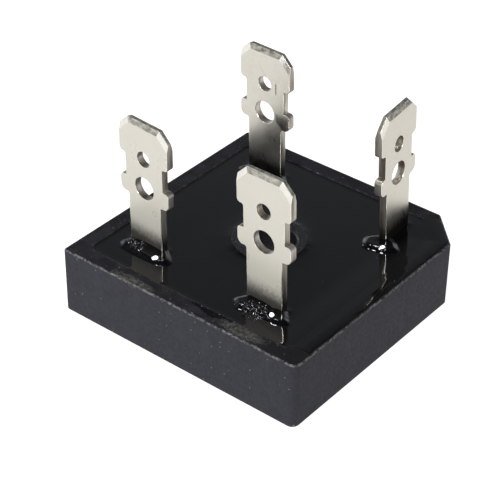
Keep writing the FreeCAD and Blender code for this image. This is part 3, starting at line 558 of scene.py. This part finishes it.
# Small flats pressed into three beads: middle (mm), reach (mm) and facing. Each is turned to mirror the top
# lamp into the lens, where the photo has a bright oval.
GLINTS = [
    ((7.97, -9.76), 0.31, (0.097, -0.389, 0.916)),
    ((-6.20, -9.86), 0.34, (0.149, -0.377, 0.914)),
    ((9.60, 5.56), 0.34, (0.074, -0.438, 0.896)),
]
FROTH = [((6.6, -10.15), 1.35), ((5.5, -10.0), 0.9), ((-8.8, -9.35), 1.0), ((-9.8, -9.1), 0.7)]
BUBBLES = {
    "front": [(5.8, -10.0, 0.30, 0.10), (6.3, -10.6, 0.26, 0.08), (6.5, -9.9, 0.34, 0.14), (7.0, -10.4, 0.28, 0.10),
              (7.3, -9.7, 0.30, 0.12), (6.1, -9.3, 0.30, 0.11), (6.8, -9.2, 0.24, 0.09), (7.7, -10.2, 0.24, 0.07),
              (5.4, -9.4, 0.24, 0.08), (7.7, -9.4, 0.22, 0.08), (5.8, -11.0, 0.20, 0.05), (8.3, -10.7, 0.20, 0.05)],
    "minus": [(-9.5, -8.9, 0.28, 0.10), (-9.0, -9.5, 0.30, 0.12), (-8.8, -8.9, 0.26, 0.09), (-8.3, -9.4, 0.26, 0.10),
              (-9.9, -9.4, 0.22, 0.07), (-8.5, -10.0, 0.22, 0.06)],
}


def lift(height, reach, falloff="SHARP"):
    """Moves what is selected up, and its surroundings with it out to a reach."""
    bpy.ops.transform.translate(
        value=(0, 0, height), use_proportional_edit=True,
        proportional_edit_falloff=falloff, proportional_size=reach)


def from_shaft(spot, foot):
    """How far a spot lies from the outline of a terminal's shaft, seen from above."""
    centre, turn = SHAFT_FEET[foot]
    angle = math.radians(turn)
    away = Vector((spot.x, spot.y)) - centre
    across = abs(away.x * math.cos(angle) + away.y * math.sin(angle))
    along = abs(-away.x * math.sin(angle) + away.y * math.cos(angle))
    return math.hypot(max(across - SHAFT_HALF, 0), max(along - STRIP_HALF, 0))


diagonal = Vector((1, 1, 0)).normalized()


def spills_from(spot):
    """True on the cup's right wall and at its cut corner, where the epoxy has run over the rim."""
    over_right = spot.x > CUP_HALF - 0.05 * MM
    over_cut = spot.xy.dot(diagonal.xy) > CUP_CUT_REACH - 0.02 * MM
    return over_right or over_cut


def spill_way(spot):
    """The level direction in which the spilt epoxy ran from a spot on the cup's wall."""
    share = min(max((spot.y - 9.2 * MM) / (1.3 * MM), 0), 1)
    return Vector((1, 0, 0)).lerp(diagonal, share).normalized()


bpy.ops.mesh.primitive_grid_add(
    x_subdivisions=124, y_subdivisions=124, size=2 * CUP_HALF, location=(0, 0, POTTING_LEVEL))
potting = bpy.context.object
potting.name = "cast_epoxy"
bpy.ops.object.transform_apply(location=True)
edit_only(potting)
for side_x, side_y in ((-1, -1), (-1, 1), (1, -1)):
    hub = Vector((side_x, side_y, 0)) * (CUP_HALF - CUP_CORNER)
    for degrees in (15, 45, 75):
        out = Vector((side_x * math.cos(math.radians(degrees)), side_y * math.sin(math.radians(degrees)), 0))
        bpy.ops.mesh.select_all(action="SELECT")
        bpy.ops.mesh.bisect(plane_co=hub + out * CUP_CORNER, plane_no=out, clear_outer=True)
bpy.ops.mesh.select_all(action="SELECT")
bpy.ops.mesh.bisect(plane_co=diagonal * CUP_CUT_REACH, plane_no=diagonal, clear_outer=True)
for reach in (2.5 * MM, 1.3 * MM):
    edit_only(potting, "FACE")
    pick(potting, lambda spot: min(from_shaft(spot, foot) for foot in SHAFT_FEET) < reach, "faces")
    bpy.ops.mesh.subdivide(number_cuts=1)

edit_only(potting)
pick(potting, lambda spot: spot.xy.length < HOLE_HALF)
bpy.ops.mesh.delete(type="VERT")
for foot in SHAFT_FEET:
    taper_y = SHAFT_FEET[foot][0].y - (2.6 if foot == "plus" else 1.3) * MM
    taper_x = SHAFT_FEET[foot][0].x - (0.6 if foot == "plus" else 1.6) * MM
    pick(potting, lambda spot: from_shaft(spot, foot) + 0.3 * MM * noise.noise(spot / MM * 0.6)
         + 1.5 * max(spot.y - taper_y, 0) + 0.9 * max(taper_x - spot.x, 0) < BEAD_WIDTH)
    lift(BEAD_HEIGHT, BEAD_FOOT, "SMOOTH")
    pick(potting, lambda spot: from_shaft(spot, foot) < 0.01 * MM)
    lift(0.07 * MM, 0.8 * MM)
for reach, height in ((2.4 * MM, 0.06 * MM), (0.7 * MM, 0.08 * MM)):
    pick(potting, lambda spot: spot.xy.length < 3.8 * MM)
    lift(height, reach)
for cluster in BUBBLES.values():
    for across, along, reach, height in cluster:
        middle = Vector((across, along)) * MM
        pick(potting, lambda spot: (spot.xy - middle).length < 0.09 * MM)
        lift(height * MM, reach * MM, "SPHERE")
        lift(-0.6 * height * MM, 0.5 * reach * MM, "SMOOTH")
mesh = bmesh.from_edit_mesh(potting.data)
for (across, along), reach, facing in GLINTS:
    middle = Vector((across, along)) * MM
    level = min(mesh.verts, key=lambda point: (point.co.xy - middle).length).co.z - 0.04 * MM
    for point in mesh.verts:
        away = point.co.xy - middle
        hold = min(max(2.6 - 2 * away.length / (reach * MM), 0), 1)
        if hold:
            dip = level - (facing[0] * away.x + facing[1] * away.y) / facing[2]
            point.co.z += (dip - point.co.z) * hold * hold * (3 - 2 * hold)
bmesh.update_edit_mesh(potting.data)
bpy.ops.mesh.select_all(action="SELECT")
bpy.ops.mesh.select_mode(type="EDGE")
bpy.ops.mesh.region_to_loop()
bpy.ops.mesh.select_mode(type="VERT")
mesh = bmesh.from_edit_mesh(potting.data)
for point in mesh.verts:
    if point.co.xy.length < NEAR_HOLE:
        point.select_set(False)
mesh.select_flush_mode()
lift(0.025 * MM, 0.4 * MM)
pick(potting, spills_from)
lift(0.13 * MM, 3.5 * MM, "SMOOTH")

# The spilt film, step by step: how far it runs on, and its level (mm).
SPILL_STEPS = [
    (0.12, 7.405), (0.23, 7.432), (0.40, 7.442), (0.40, 7.438), (0.25, 7.428), (0.10, 7.414), (0.05, 7.396),
]
edit_only(potting, "EDGE")
pick(potting, spills_from, "edges")
bpy.ops.mesh.select_mode(type="VERT")
for number, (run, level) in enumerate(SPILL_STEPS):
    bpy.ops.mesh.extrude_region_move()
    mesh = bmesh.from_edit_mesh(potting.data)
    for point in mesh.verts:
        if point.select:
            wave = noise.noise(Vector((point.co.y / MM * 0.9, number * 0.15, 3)))
            fine = noise.noise(Vector((point.co.y / MM * 4.0, number * 0.3, 8)))
            point.co += spill_way(point.co) * run * MM * (1 + 0.10 * wave + 0.06 * fine)
            point.co.z = level * MM + 0.006 * MM * wave
    bmesh.update_edit_mesh(potting.data)

bpy.ops.mesh.select_all(action="SELECT")
bpy.ops.mesh.region_to_loop()
bpy.ops.mesh.select_mode(type="VERT")
mesh = bmesh.from_edit_mesh(potting.data)
for point in mesh.verts:
    point.select_set(point.select and point.co.xy.length > NEAR_HOLE)
mesh.select_flush_mode()
bpy.ops.mesh.extrude_region_move()
mesh = bmesh.from_edit_mesh(potting.data)
for point in mesh.verts:
    if point.select and spills_from(point.co):
        way = spill_way(point.co)
        reach = CUP_HALF if way.y < 0.01 else CUP_CUT_REACH
        if way.y < 0.01 or way.y > 0.7:
            point.co -= way * (point.co.xy.dot(way.xy) - reach) / way.xy.dot(way.xy)
        else:
            point.co -= way * 1.5 * MM
        point.co.z = RIM_LEVEL - 0.02 * MM
bmesh.update_edit_mesh(potting.data)
for level in (6.9 * MM, PLATE_TOP):
    bpy.ops.mesh.extrude_region_move()
    mesh = bmesh.from_edit_mesh(potting.data)
    for point in mesh.verts:
        if point.select:
            point.co.z = level
    bmesh.update_edit_mesh(potting.data)
bpy.ops.mesh.select_all(action="DESELECT")
bpy.ops.mesh.select_mode(type="EDGE")
bpy.ops.mesh.select_non_manifold(extend=False)
mesh = bmesh.from_edit_mesh(potting.data)
for line in mesh.edges:
    line.select_set(line.select and line.verts[0].co.xy.length < NEAR_HOLE)
bpy.ops.mesh.extrude_region_move()
mesh = bmesh.from_edit_mesh(potting.data)
for point in mesh.verts:
    if point.select:
        point.co.z = PLATE_TOP
bmesh.update_edit_mesh(potting.data)
bpy.ops.mesh.select_all(action="DESELECT")
bpy.ops.mesh.select_non_manifold(extend=False)
bpy.ops.mesh.bridge_edge_loops()
bpy.ops.mesh.select_all(action="SELECT")
bpy.ops.mesh.remove_doubles(threshold=0.002 * MM)
bpy.ops.mesh.normals_make_consistent(inside=False)
bpy.ops.object.mode_set(mode="OBJECT")
bpy.ops.object.shade_smooth_by_angle(angle=math.radians(60))
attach(potting, "root")
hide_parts("potting_epoxy")

froth = potting.data.attributes.new("froth", "FLOAT", "POINT")
for point in potting.data.vertices:
    near = 0.0
    for (across, along), reach in FROTH:
        away = (point.co.xy - Vector((across, along)) * MM).length / (reach * MM)
        near = max(near, min(max(1.4 - 1.4 * away, 0), 1))
    froth.data[point.index].value = near

epoxy_gloss, tree, shader = new_finish("epoxy_gloss", 0.06)
own_place = add_node(tree, "TexCoord").outputs["Object"]
frothy = add_node(tree, "Attribute", attribute_name="froth").outputs["Fac"]
swirl = use_group(tree, grain, PerMm=0.18)
dust = use_group(tree, specks, Spacing=0.9, Share=0.10, Size=0.07)
tone = between(tree, swirl.outputs["Coarse"], (0.0020, 0.0021, 0.0028), (0.0036, 0.0037, 0.0046))
tone = between(tree, calc(tree, "MULTIPLY", dust.outputs["Mask"], 0.5), tone, (0.16, 0.16, 0.16))
tree.links.new(tone, shader.inputs["Base Color"])
tree.links.new(ramp(tree, swirl.outputs["Fine"], 0.4, 0.7, 0.045, 0.11), shader.inputs["Roughness"])
cells = add_node(tree, "TexVoronoi", Scale=4300, Randomness=1.0)
tree.links.new(own_place, cells.inputs["Vector"])
domes = calc(tree, "SUBTRACT", 1.0, ramp(tree, cells.outputs["Distance"], 0.0, 0.55, 0.0, 1.0, soft=True))
patchy = ramp(tree, calc(tree, "ADD", frothy, calc(tree, "SUBTRACT", swirl.outputs["Fine"], 0.5)), 0.28, 0.62)
ripple = calc(tree, "MULTIPLY", swirl.outputs["Coarse"], 0.10)
roughen(tree, shader, calc(tree, "ADD", calc(tree, "MULTIPLY", domes, patchy), ripple), 0.085 * MM)
dress(potting, epoxy_gloss)
